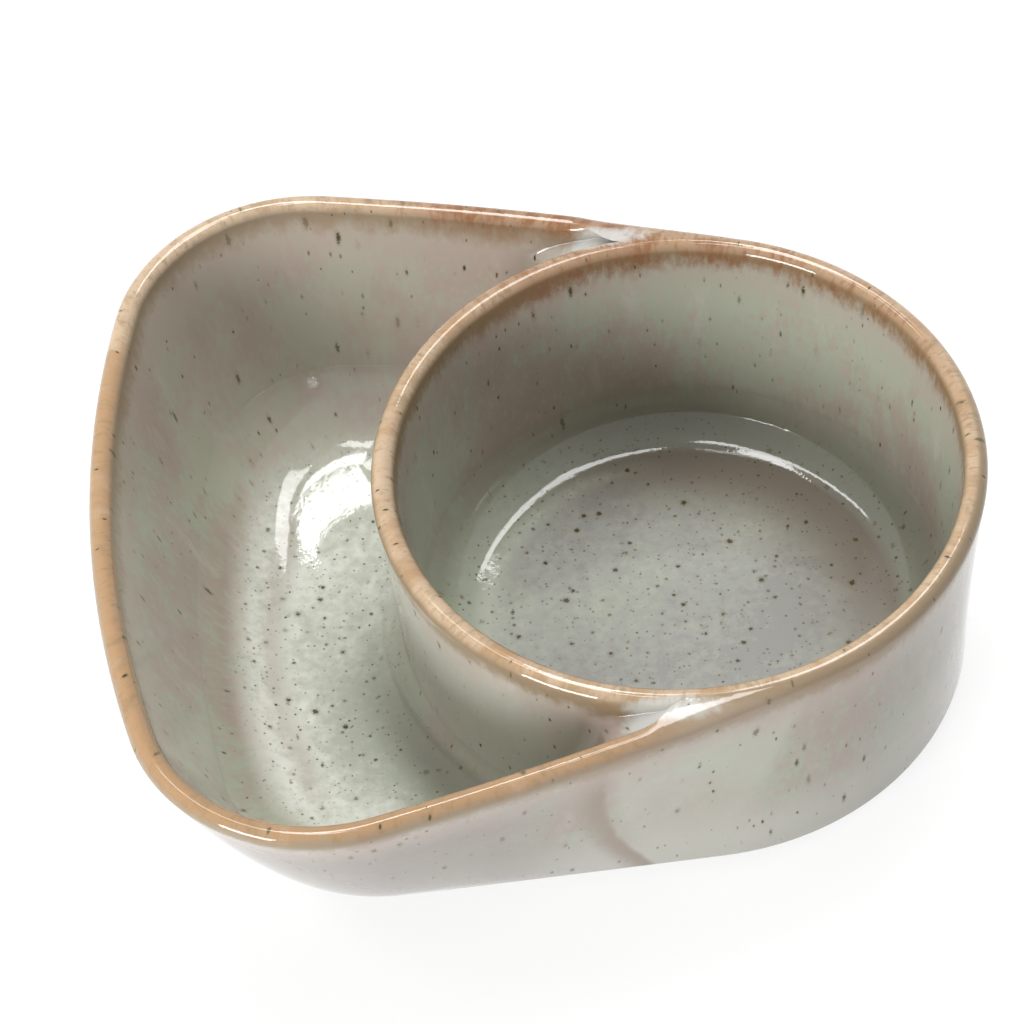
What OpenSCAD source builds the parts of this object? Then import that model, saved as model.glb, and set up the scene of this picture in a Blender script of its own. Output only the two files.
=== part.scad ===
// Soup and cracker bowl: a round soup cup with a flared cracker tray luted round one side.
// Millimetres, +Z up. The origin is on the table under the middle of the whole bowl.
// Plan outlines are tangent arcs about the cup's axis: cup, flank, corner and end, mirrored in y.

/* [Cup] */
// Height of the lip's crest above the table
height = 62; // [56:0.5:68]
// Outside radius of the cup at its lip
cup_rim_r = 65.3; // [62:0.1:69]
// Outside radius of the cup at its base
cup_base_r = 62.2; // [60:0.1:64]
// How late the cup's wall leans out towards the lip
cup_waist_power = 1.8; // [1:0.1:3]

/* [Tray] */
// Reach of the tray's lip from the cup's axis
rim_reach = 125.2; // [118:0.2:132]
// Reach of the tray's base from the cup's axis
base_reach = 103; // [98:0.5:108]
// Half of the tray's width at its lip
rim_half_w = 89.3; // [84:0.1:94]
// Radius of the tray's end at its lip
rim_end_r = 244; // [200:2:320]
// Radius of the tray's end at its base
base_end_r = 200; // [160:2:280]
// Radius of the tray's corners at the lip
rim_corner_r = 41; // [34:0.5:48]
// Radius of the tray's corners at the base
base_corner_r = 33; // [28:0.5:40]
// Radius of the tray's flanks at the lip
rim_flank_r = 660; // [500:10:1200]
// Radius of the tray's flanks at the base, nearly straight
base_flank_r = 4000; // [2500:100:6000]
// How early the tray's wall flares out, below 1 for a belly
flare_power = 0.8; // [0.7:0.05:1]

/* [Walls and floors] */
// Thickness of the walls at the lip, which is fully rounded
rim_wall = 5; // [4:0.1:6]
// Thickness of the walls at the base
base_wall = 6; // [5:0.1:7]
// Height of both floors above the table
floor_z = 8; // [6:0.5:10]
// Radius of the cove inside the cup
cup_cove_r = 11.5; // [8:0.5:14]
// Radius of the cove round the tray's floor
tray_cove_r = 9; // [6:0.5:11]
// Radius of the web in the sharp corner between tray and cup
web_r = 4; // [3:0.5:5]
// Depth of the web's top below the lip's crest
web_drop = 2; // [1:0.5:6]

/* [Foot] */
// Height of the foot ring
foot_h = 1.5; // [1:0.25:3]
// Distance from the base's edge in to the foot ring
foot_inset = 3; // [2:0.5:6]
// Width of the foot ring
foot_w = 6; // [4:0.5:8]
// Rounding of the base's outer edge
edge_r = 2; // [1:0.25:3]

/* [Hidden] */
$fn = 128;

// Share of a flank, from the cup, where the tray's wall is too thin to be drawn
feather = 0.09;
// Room left between a faceted piece and the piece that it lies against
seam = 0.08;
// Thickness of a cove's feather edge
cove_edge = 0.3;

// Steps along a flank, a corner, half the end, a web and half of the cup's side,
// which with the web has as many steps as the tray's wall opposite
flank_steps = 14;
corner_steps = 12;
end_steps = 7;
web_steps = 8;
side_steps = flank_steps + corner_steps + end_steps - web_steps;
// Steps up a wall above the floor, round a lip, round the base's edge and round a cove
wall_steps = 9;
lip_steps = 8;
edge_steps = 3;
cove_steps = 8;

lip_r = rim_wall / 2;
lip_z = height - lip_r;
// The cup's axis lies this far from the middle of the whole bowl
cup_x = (rim_reach - cup_rim_r) / 2;
// Arcs of half a plan, in order round it
CUP = 0;
WEB = 1;
FLANK = 2;
CORNER = 3;
END = 4;

function mix(a, b, s) = a + (b - a) * s;
function dir(a) = [cos(a), sin(a)];
function bearing(v) = atan2(v.y, v.x);
function steps(n, from = 0, to = 1) = [for (i = [0 : n]) mix(from, to, i / n)];

// Height as a share of the way from the base to the middle of the lip
function rise(z) = min(1, max(0, (z - foot_h) / (lip_z - foot_h)));
function flare(z) = pow(rise(z), flare_power);
function cup_r(z) = mix(cup_base_r, cup_rim_r, pow(rise(z), cup_waist_power));
function wall(z) = mix(base_wall, rim_wall, rise(z));
// How far a quarter round of radius r stands in from its side, at height h above its bottom
function round_in(r, h) = h >= r ? 0 : r - sqrt(r * r - pow(r - h, 2));
// How far the base's rounded edge stands in from the wall, and the cup's outside with that edge
function edge_in(z) = round_in(edge_r, z - foot_h);
function cup_side_r(z) = cup_r(z) - edge_in(z);

// Heights up a wall, closer together round the base's edge
edge_levels = [for (a = steps(edge_steps, 0, 90)) foot_h + edge_r * (1 - cos(a))];
levels = concat(edge_levels, steps(wall_steps, floor_z, lip_z));
floor_levels = [for (z = levels) if (z <= floor_z) z];
lip_turn = [for (k = [1 : lip_steps - 1]) 180 * k / lip_steps];

// The point where circles about a and b, of radii ra and rb, meet on the tray's side
function meeting(a, ra, b, rb, turn = 1) =
    let (d = norm(b - a), e = (b - a) / d, t = (ra * ra - rb * rb + d * d) / (2 * d))
    a + e * t + turn * [-e.y, e.x] * sqrt(ra * ra - t * t);

// Plan of the outer wall at height z, for y >= 0: [cup radius, flank, corner, end],
// where each arc is [centre, radius, first bearing, last bearing]
function plan(z) =
    let (s = flare(z), r = cup_r(z),
         reach = mix(base_reach, rim_reach, s), half_w = mix(cup_base_r, rim_half_w, s),
         end_r = mix(base_end_r, rim_end_r, s), corner_r = mix(base_corner_r, rim_corner_r, s),
         flank_r = 1 / mix(1 / base_flank_r, 1 / rim_flank_r, s),
         end_c = [end_r - reach, 0], corner_y = half_w - corner_r,
         corner_c = [end_c.x - sqrt(pow(end_r - corner_r, 2) - corner_y * corner_y), corner_y],
         flank_c = meeting([0, 0], flank_r - r, corner_c, flank_r - corner_r),
         a1 = bearing(-flank_c), a2 = bearing(corner_c - flank_c), a3 = bearing(corner_c - end_c))
    [r, [flank_c, flank_r, a1, a2], [corner_c, corner_r, a2, a3], [end_c, end_r, a3, 180]];

// Plan of the tray's inside at height z, for y >= 0, drawn in by a further d:
// the cup's side, the web, the flank, the corner and the end
function basin(z, d = 0) =
    let (p = plan(z), t = wall(z) + d + seam, side_r = p[0] + d + seam,
         flank_c = p[1][0], flank_r = p[1][1] - t,
         web_c = meeting([0, 0], side_r + web_r, flank_c, flank_r - web_r, -1),
         on_cup = bearing(web_c), on_flank = bearing(web_c - flank_c))
    [[[0, 0], side_r, 180, on_cup], [web_c, web_r, on_cup - 180, on_flank],
     [flank_c, flank_r, on_flank, p[1][3]], [p[2][0], p[2][1] - t, p[2][2], p[2][3]],
     [p[3][0], p[3][1] - t, p[3][2], 180]];

// Point a share u along an arc, mirrored to the front where side is -1
function on_arc(arc, u, side = 1) =
    let (p = arc[0] + arc[1] * dir(mix(arc[2], arc[3], u)))
    [p.x, side * p.y];

// Runs of [side, arc, share]: half a loop from the cup's far side, then the whole loop
basin_half = concat([for (u = steps(side_steps)) [CUP, u]],
                    [for (u = steps(web_steps)) if (u > 0) [WEB, u]],
                    [for (u = steps(flank_steps)) if (u > 0) [FLANK, u]],
                    [for (u = steps(corner_steps)) if (u > 0) [CORNER, u]],
                    [for (u = steps(end_steps)) if (u > 0) [END, u]]);
basin_last = len(basin_half) - 1;
basin_run = concat([for (s = basin_half) [1, s[0], s[1]]],
                   [for (i = [basin_last - 1 : -1 : 1]) [-1, basin_half[i][0], basin_half[i][1]]]);
// The two halves of a loop as rings, from the cup's far side to the middle of the tray's end
basin_rings = [[for (i = [0 : basin_last]) i],
               [for (i = [basin_last : -1 : 0]) (2 * basin_last - i) % (2 * basin_last)]];
function basin_loop(z, d = 0) =
    let (arcs = basin(z, d))
    [for (s = basin_run) let (p = on_arc(arcs[s[1]], s[2], s[0])) [p.x, p.y, z]];

// Stations of the tray's wall, from the cup at the front round to the cup at the back
wall_half = concat([for (u = steps(flank_steps, feather, 1)) [1, u]],
                   [for (u = steps(corner_steps)) if (u > 0) [2, u]],
                   [for (u = steps(end_steps)) if (u > 0) [3, u]]);
wall_last = len(wall_half) - 1;
wall_run = concat([for (s = wall_half) [-1, s[0], s[1]]],
                  [for (i = [wall_last - 1 : -1 : 0]) [1, wall_half[i][0], wall_half[i][1]]]);

// How far in from p, against the outward normal n, the cup's side of radius r lies
function to_cup(p, n, r) =
    let (along = p * n, room = along * along - p * p + r * r)
    room < 0 ? rim_reach : along - sqrt(room);

// [outer point, outward normal, thickness] of the tray's wall at a station and height
function wall_at(s, z) =
    let (p = plan(z), arc = p[s[1]], n = dir(mix(arc[2], arc[3], s[2])),
         outer = arc[0] + (arc[1] - edge_in(z)) * n,
         t = min(wall(z) - edge_in(z), to_cup(outer, n, cup_side_r(z) + seam)))
    [[outer.x, s[0] * outer.y], [n.x, s[0] * n.y], t];
// Section of the tray's wall at a station: up the outside, over the lip and down the inside
function wall_section(s) =
    let (sides = [for (z = levels) wall_at(s, z)],
         top = sides[len(sides) - 1], r = top[2] / 2, mid = top[0] - r * top[1])
    concat([for (k = [0 : len(levels) - 1]) [sides[k][0].x, sides[k][0].y, levels[k]]],
           [for (a = lip_turn) let (p = mid + r * cos(a) * top[1]) [p.x, p.y, lip_z + r * sin(a)]],
           [for (k = [len(levels) - 1 : -1 : 0])
               let (p = sides[k][0] - sides[k][2] * sides[k][1]) [p.x, p.y, levels[k]]]);

// Triangles of a net of rows by columns, closed round the columns and, where asked, the rows
function net(rows, cols, ring = false) =
    [for (i = [0 : rows - (ring ? 1 : 2)], k = [0 : cols - 1], half = [0, 1])
        let (a = i * cols + k, b = i * cols + (k + 1) % cols,
             c = ((i + 1) % rows) * cols + (k + 1) % cols, d = ((i + 1) % rows) * cols + k)
        half == 0 ? [a, b, c] : [a, c, d]];
function turned(faces) = [for (f = faces) [f[0], f[2], f[1]]];
// Triangles that zip one side of a ring of points to the other, with a last one on an odd point
function zip(ring) =
    let (n = len(ring), pairs = floor(n / 2))
    concat([for (i = [0 : pairs - 2], half = [0, 1])
               half == 0 ? [ring[i], ring[i + 1], ring[n - 2 - i]]
                         : [ring[i], ring[n - 2 - i], ring[n - 1 - i]]],
           n % 2 == 1 ? [[ring[pairs - 1], ring[pairs], ring[pairs + 1]]] : []);
function shifted(ring, by) = [for (k = ring) k + by];

// A solid between flat loops of equal length, lowest first, whose ends are zipped from rings
module stacked(loops, rings) {
    rows = len(loops);
    cols = len(loops[0]);
    bottom = [for (ring = rings) each zip(ring)];
    top = [for (ring = rings) each zip(shifted(ring, (rows - 1) * cols))];
    faces = concat(turned(net(rows, cols)), bottom, turned(top));
    polyhedron([for (loop = loops) each loop], faces, convexity = 8);
}

// A wall's profile in the cup: outside, lip and inside, down to the base
module cup_wall_profile() {
    outside = [for (z = levels) [cup_side_r(z), z]];
    lip = [for (a = lip_turn) [cup_rim_r - lip_r + lip_r * cos(a), lip_z + lip_r * sin(a)]];
    inside = [for (k = [len(levels) - 1 : -1 : 0]) [cup_r(levels[k]) - wall(levels[k]), levels[k]]];
    polygon(concat(outside, lip, inside));
}

function cup_inside_r(z) = cup_r(z) - wall(z);
// Heights up a cove of radius r, from the floor to its feather edge
function cove_levels(r) =
    let (top = acos(sqrt(1 - pow(1 - cove_edge / r, 2))))
    [for (a = steps(cove_steps, 0, top)) floor_z + r * (1 - cos(a))];

// The wall's own heights behind a cove, up to the cove's top
function side_levels(rising) =
    let (top = rising[cove_steps])
    concat([for (z = levels) if (z >= floor_z && z < top) z], [top]);

module cup_wall() {
    color("rosybrown") translate([cup_x, 0, 0]) rotate_extrude() cup_wall_profile();
}

module cup_floor() {
    side = [for (z = floor_levels) [cup_inside_r(z), z]];
    color("darkseagreen") translate([cup_x, 0, 0]) rotate_extrude()
        polygon(concat([[0, foot_h]], side, [[0, floor_z]]));
}

module cup_cove() {
    rising = cove_levels(cup_cove_r);
    side = [for (z = side_levels(rising)) [cup_inside_r(z), z]];
    cove = [for (k = [cove_steps : -1 : 0])
        [cup_inside_r(rising[k]) - round_in(cup_cove_r, rising[k] - floor_z), rising[k]]];
    color("slategray") translate([cup_x, 0, 0]) rotate_extrude() polygon(concat(side, cove));
}

module tray_wall() {
    sections = [for (s = wall_run) wall_section(s)];
    rows = len(sections);
    cols = len(sections[0]);
    end = [for (k = [0 : cols - 1]) k];
    faces = concat(turned(net(rows, cols)), zip(end), turned(zip(shifted(end, (rows - 1) * cols))));
    color("tan") translate([cup_x, 0, 0])
        polyhedron([for (section = sections) each section], faces, convexity = 8);
}

module tray_floor() {
    color("palegoldenrod") translate([cup_x, 0, 0])
        stacked([for (z = floor_levels) basin_loop(z)], basin_rings);
}

module tray_cove() {
    rising = cove_levels(tray_cove_r);
    side = [for (z = side_levels(rising)) basin_loop(z)];
    cove = [for (k = [cove_steps : -1 : 0])
        basin_loop(rising[k], round_in(tray_cove_r, rising[k] - floor_z))];
    loops = concat(side, cove);
    color("cadetblue") translate([cup_x, 0, 0])
        polyhedron([for (loop = loops) each loop], turned(net(len(loops), len(basin_run), true)),
                   convexity = 8);
}

// Section of the back web: along the cup to the sharp corner, down the flank and back round the
// hollow, with as many steps along the two sides as round the hollow
function web_loop(z) =
    let (p = plan(z), arcs = basin(z), flank_r = p[1][1] - wall(z) - seam, side_r = p[0] + seam,
         tip = meeting([0, 0], side_r, p[1][0], flank_r, -1),
         cup_turn = [arcs[CUP][3], bearing(tip)],
         flank_turn = [bearing(tip - p[1][0]), arcs[FLANK][2]],
         points = concat(
             [for (u = steps(web_steps / 2)) side_r * dir(mix(cup_turn[0], cup_turn[1], u))],
             [for (u = steps(web_steps / 2))
                 if (u > 0) p[1][0] + flank_r * dir(mix(flank_turn[0], flank_turn[1], u))],
             [for (k = [web_steps - 1 : -1 : 1]) on_arc(arcs[WEB], k / web_steps)]))
    [for (q = points) [q.x, q.y, z]];

module back_web() {
    top = height - web_drop;
    rising = concat([for (z = levels) if (z < top) z], [top]);
    ring = [for (k = [0 : 2 * web_steps - 1]) k];
    color("lightgray") translate([cup_x, 0, 0]) stacked([for (z = rising) web_loop(z)], [ring]);
}
module front_web() { mirror([0, 1, 0]) back_web(); }

// Outline of the base, drawn in by d
module base_outline(d) {
    p = plan(foot_h);
    half = concat([for (u = steps(side_steps)) (p[0] - d) * dir(u * p[1][2])],
                  [for (i = [1 : 3], u = steps(corner_steps))
                      if (u > 0) p[i][0] + (p[i][1] - d) * dir(mix(p[i][2], p[i][3], u))]);
    last = len(half) - 1;
    polygon(concat(half, [for (k = [last - 1 : -1 : 1]) [half[k].x, -half[k].y]]));
}

module foot_ring() {
    color("burlywood") translate([cup_x, 0, 0]) linear_extrude(foot_h) difference() {
        base_outline(foot_inset);
        base_outline(foot_inset + foot_w);
    }
}

cup_wall();
cup_floor();
cup_cove();
tray_wall();
tray_floor();
tray_cove();
front_web();
back_web();
foot_ring();
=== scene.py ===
"""Looks of the soup and cracker bowl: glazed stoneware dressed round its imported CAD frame.

Lengths are metres in the frame's own axes: +Z up, the cup towards +X, the tray towards -X and
the front at -Y. Plan outlines are tangent arcs about the cup's axis, mirrored in y.
"""

from __future__ import annotations

import logging
import math
from collections.abc import Sequence
from dataclasses import dataclass, field
from enum import Enum
from functools import reduce

import bmesh
import bpy
from mathutils import Matrix, Vector


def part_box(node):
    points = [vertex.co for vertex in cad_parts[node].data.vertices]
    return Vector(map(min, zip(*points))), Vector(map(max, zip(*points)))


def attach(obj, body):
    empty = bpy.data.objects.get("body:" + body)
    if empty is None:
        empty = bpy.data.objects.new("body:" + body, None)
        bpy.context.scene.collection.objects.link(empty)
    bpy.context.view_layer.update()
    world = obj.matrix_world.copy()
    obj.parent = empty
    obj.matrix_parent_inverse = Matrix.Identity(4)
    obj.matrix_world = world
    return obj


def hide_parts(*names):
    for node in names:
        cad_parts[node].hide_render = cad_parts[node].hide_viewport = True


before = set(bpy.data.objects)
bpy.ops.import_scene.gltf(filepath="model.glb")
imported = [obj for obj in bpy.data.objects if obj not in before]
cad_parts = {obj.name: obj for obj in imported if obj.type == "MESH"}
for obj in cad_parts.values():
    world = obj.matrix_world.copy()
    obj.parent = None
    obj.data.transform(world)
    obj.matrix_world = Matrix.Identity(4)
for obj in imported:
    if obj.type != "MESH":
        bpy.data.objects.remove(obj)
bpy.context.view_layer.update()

log = logging.getLogger("bowl")

MM = 0.001
BODY = "root"
WELD = 1e-7
SLIVER = 1e-8


class Slot(Enum):
    """Material slots."""

    GLAZED = "glazed_stoneware"
    BARE = "bare_stoneware"


class Side(Enum):
    """The two mirrored sides of the bowl, by the sign of y."""

    FRONT = -1
    BACK = 1


class Run(Enum):
    """Arcs of half a plan, in order round it from the cup's far side."""

    CUP = "cup"
    WEB = "web"
    FLANK = "flank"
    CORNER = "corner"
    END = "end"


def mix(a: float, b: float, share: float) -> float:
    """Value a share of the way from a to b."""
    return a + (b - a) * share


def shares(steps: int, first: float = 0.0, last: float = 1.0) -> list[float]:
    """Evenly spaced values from first to last, both included."""
    return [mix(first, last, k / steps) for k in range(steps + 1)]


def smooth(share: float) -> float:
    """Smooth step of a share, which is held between 0 and 1."""
    share = min(1.0, max(0.0, share))
    return share * share * (3.0 - 2.0 * share)


def bearing(x: float, y: float) -> float:
    """Direction of a plan vector, in radians."""
    return math.atan2(y, x)


def meeting(a: Vector, ra: float, b: Vector, rb: float, turn: int = 1) -> Vector:
    """Finds where two plan circles meet.

    Args:
        a: Centre of the first circle.
        ra: Radius of the first circle.
        b: Centre of the second circle.
        rb: Radius of the second circle.
        turn: Which of the two points, 1 to the left of the line from a to b.

    Returns:
        The meeting point, or the nearest point to one where they only just touch.
    """
    gap = b - a
    along = gap.normalized()
    reach = (ra * ra - rb * rb + gap.length_squared) / (2.0 * gap.length)
    rise = math.sqrt(max(0.0, ra * ra - reach * reach))
    return a + along * reach + turn * Vector((-along.y, along.x)) * rise


@dataclass(frozen=True)
class Arc:
    """A plan arc about a centre, from one bearing to another."""

    centre: Vector
    radius: float
    first: float
    last: float

    def normal(self, share: float) -> Vector:
        """Unit vector out from the centre, a share of the way along."""
        turn = mix(self.first, self.last, share)
        return Vector((math.cos(turn), math.sin(turn)))

    def point(self, share: float, inset: float = 0.0) -> Vector:
        """Point a share of the way along, drawn in by inset."""
        return self.centre + (self.radius - inset) * self.normal(share)


@dataclass(frozen=True)
class Level:
    """One height of a wall: z, how far its outside stands in from the plan, and thickness."""

    z: float
    inset: float
    thickness: float


@dataclass(frozen=True)
class BowlForm:
    """Driving sizes of the bowl and the plan curves that follow from them."""

    height: float
    cup_x: float
    cup_rim_r: float
    rim_reach: float
    rim_half_w: float
    cup_base_r: float = 0.0622
    cup_waist_power: float = 1.8
    base_reach: float = 0.103
    rim_end_r: float = 0.244
    base_end_r: float = 0.200
    rim_corner_r: float = 0.041
    base_corner_r: float = 0.033
    rim_flank_r: float = 0.660
    base_flank_r: float = 4.0
    flare_power: float = 0.8
    rim_wall: float = 0.005
    base_wall: float = 0.006
    floor_z: float = 0.008
    cup_cove_r: float = 0.0115
    tray_cove_r: float = 0.009
    tray_sweep_r: float = 0.014
    web_r: float = 0.006
    web_neck_r: float = 0.0012
    web_slope: float = 0.75
    web_short: int = 7
    merge_near: float = 0.0040
    merge_far: float = 0.0105
    merge_sink: float = 0.0002
    foot_h: float = 0.0015
    foot_inset: float = 0.003
    foot_w: float = 0.006
    edge_r: float = 0.002
    seam: float = 0.00002
    edge_steps: int = 8
    wall_steps: int = 26
    lip_steps: int = 9

    @classmethod
    def from_frame(cls) -> BowlForm:
        """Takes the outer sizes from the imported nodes.

        Returns:
            The bowl's sizes.
        """
        cup_low, cup_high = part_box("cup_wall")
        tray_low, tray_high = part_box("tray_wall")
        cup_x = (cup_low.x + cup_high.x) / 2.0
        return cls(height=cup_high.z, cup_x=cup_x, cup_rim_r=(cup_high.x - cup_low.x) / 2.0,
                   rim_reach=cup_x - tray_low.x, rim_half_w=(tray_high.y - tray_low.y) / 2.0)

    @property
    def lip_r(self) -> float:
        """Radius of the rounded lip."""
        return self.rim_wall / 2.0

    @property
    def lip_z(self) -> float:
        """Height of the middle of the lip's rounding."""
        return self.height - self.lip_r

    def rise(self, z: float) -> float:
        """Height as a share of the way from the base to the lip."""
        return min(1.0, max(0.0, (z - self.foot_h) / (self.lip_z - self.foot_h)))

    def cup_r(self, z: float) -> float:
        """Outside radius of the cup at a height."""
        return mix(self.cup_base_r, self.cup_rim_r, self.rise(z) ** self.cup_waist_power)

    def wall(self, z: float) -> float:
        """Thickness of the walls at a height."""
        return mix(self.base_wall, self.rim_wall, self.rise(z))

    @property
    def web_top(self) -> float:
        """Height of the webs' tops, in the groove between the lips."""
        return self.web_levels()[-1].z

    def web_levels(self) -> list[Level]:
        """Heights up a web, which stops short of the lips' crest."""
        return self.levels()[:-self.web_short]

    def merge(self, share: float) -> tuple[float, float]:
        """How the tray's crest runs into the cup's, at a share along the flank.

        Args:
            share: How far along the flank, from the cup.

        Returns:
            How far the crest bends in, and how far it sinks.
        """
        crest = self.plan(self.height)[Run.FLANK].point(share, self.lip_r)
        gap = max(0.0, crest.length - self.cup_rim_r + self.lip_r)
        bend = smooth((self.merge_far - gap) / (self.merge_far - self.merge_near))
        return gap * bend, self.merge_sink * bend

    def hollow_r(self, level: Level) -> float:
        """Radius of a web's hollow: narrow at its top and widening downwards."""
        depth = max(0.0, self.web_top - level.z)
        return min(self.web_r, self.web_neck_r + self.web_slope * depth)

    def levels(self) -> list[Level]:
        """Lists the heights up a wall.

        Returns:
            Levels from the base's rounded edge to the lip's crest.
        """
        made = []
        for turn in shares(self.edge_steps, 0.0, math.pi / 2.0):
            z = self.foot_h + self.edge_r * (1.0 - math.cos(turn))
            inset = self.edge_r * (1.0 - math.sin(turn))
            made.append(Level(z, inset, self.wall(z) - inset))
        made += [self.level(z) for z in shares(self.wall_steps, self.floor_z, self.lip_z)]
        for turn in shares(self.lip_steps, 0.0, math.pi / 2.0)[1:]:
            made.append(Level(self.lip_z + self.lip_r * math.sin(turn),
                              self.lip_r * (1.0 - math.cos(turn)), 2.0 * self.lip_r * math.cos(turn)))
        return made

    def level(self, z: float) -> Level:
        """Level of a wall between its base edge and its lip."""
        return Level(z, 0.0, self.wall(z))

    def cup_outer(self, level: Level) -> float:
        """Radius of the cup's outside at a level."""
        return self.cup_r(level.z) - level.inset

    def plan(self, z: float) -> dict[Run, Arc]:
        """Works out the outer wall's plan.

        Args:
            z: Height of the plan.

        Returns:
            The plan's arcs for y >= 0.
        """
        share = self.rise(z) ** self.flare_power
        cup_r = self.cup_r(z)
        reach = mix(self.base_reach, self.rim_reach, share)
        half_w = mix(self.cup_base_r, self.rim_half_w, share)
        end_r = mix(self.base_end_r, self.rim_end_r, share)
        corner_r = mix(self.base_corner_r, self.rim_corner_r, share)
        flank_r = 1.0 / mix(1.0 / self.base_flank_r, 1.0 / self.rim_flank_r, share)
        axis = Vector((0.0, 0.0))
        end_c = Vector((end_r - reach, 0.0))
        corner_y = half_w - corner_r
        corner_c = Vector((end_c.x - math.sqrt((end_r - corner_r) ** 2 - corner_y ** 2), corner_y))
        flank_c = meeting(axis, flank_r - cup_r, corner_c, flank_r - corner_r)
        to_cup = bearing(-flank_c.x, -flank_c.y)
        to_corner = bearing(*(corner_c - flank_c))
        to_end = bearing(*(corner_c - end_c))
        return {Run.CUP: Arc(axis, cup_r, 0.0, to_cup),
                Run.FLANK: Arc(flank_c, flank_r, to_cup, to_corner),
                Run.CORNER: Arc(corner_c, corner_r, to_corner, to_end),
                Run.END: Arc(end_c, end_r, to_end, math.pi)}

    def basin(self, level: Level, inset: float = 0.0) -> dict[Run, Arc]:
        """Works out the plan of the tray's inside.

        Args:
            level: Level of the walls.
            inset: How far the plan is drawn in from the walls.

        Returns:
            The plan's arcs for y >= 0.
        """
        plan = self.plan(level.z)
        flank, corner, end = plan[Run.FLANK], plan[Run.CORNER], plan[Run.END]
        depth = level.inset + level.thickness + inset + self.seam
        side_r = self.cup_outer(level) + inset + self.seam
        hollow = self.hollow_r(level)
        axis = Vector((0.0, 0.0))
        web_c = meeting(axis, side_r + hollow, flank.centre, flank.radius - depth - hollow, -1)
        on_cup = bearing(web_c.x, web_c.y)
        on_flank = bearing(*(web_c - flank.centre))
        return {Run.CUP: Arc(axis, side_r, math.pi, on_cup),
                Run.WEB: Arc(web_c, hollow, on_cup - math.pi, on_flank),
                Run.FLANK: Arc(flank.centre, flank.radius - depth, on_flank, flank.last),
                Run.CORNER: Arc(corner.centre, corner.radius - depth, corner.first, corner.last),
                Run.END: Arc(end.centre, end.radius - depth, end.first, end.last)}

    def place(self, point: Vector, z: float, side: Side = Side.BACK) -> Vector:
        """Puts a plan point about the cup's axis into the frame."""
        return Vector((self.cup_x + point.x, side.value * point.y, z))

    def ring(self, half: Sequence[tuple[Vector, float]]) -> list[Vector]:
        """Ring from half a ring of plan points and heights, by the back and then the front."""
        back = [self.place(point, z, Side.BACK) for point, z in half]
        return back + [self.place(point, z, Side.FRONT) for point, z in reversed(half[1:-1])]


@dataclass(frozen=True)
class Steps:
    """Counts of steps round the plan's arcs; the cup's side and web match the wall opposite."""

    flank: int = 44
    corner: int = 44
    end: int = 22
    web: int = 20

    def half_run(self) -> list[tuple[Run, float]]:
        """Lists the stations of half the tray's basin.

        Returns:
            Arcs and shares along them: cup side, web, flank, corner and end.
        """
        counts = {Run.CUP: self.flank + self.corner + self.end - self.web, Run.WEB: self.web,
                  Run.FLANK: self.flank, Run.CORNER: self.corner, Run.END: self.end}
        made = [(Run.CUP, 0.0)]
        for run, count in counts.items():
            made += [(run, share) for share in shares(count)[1:]]
        return made


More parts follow.
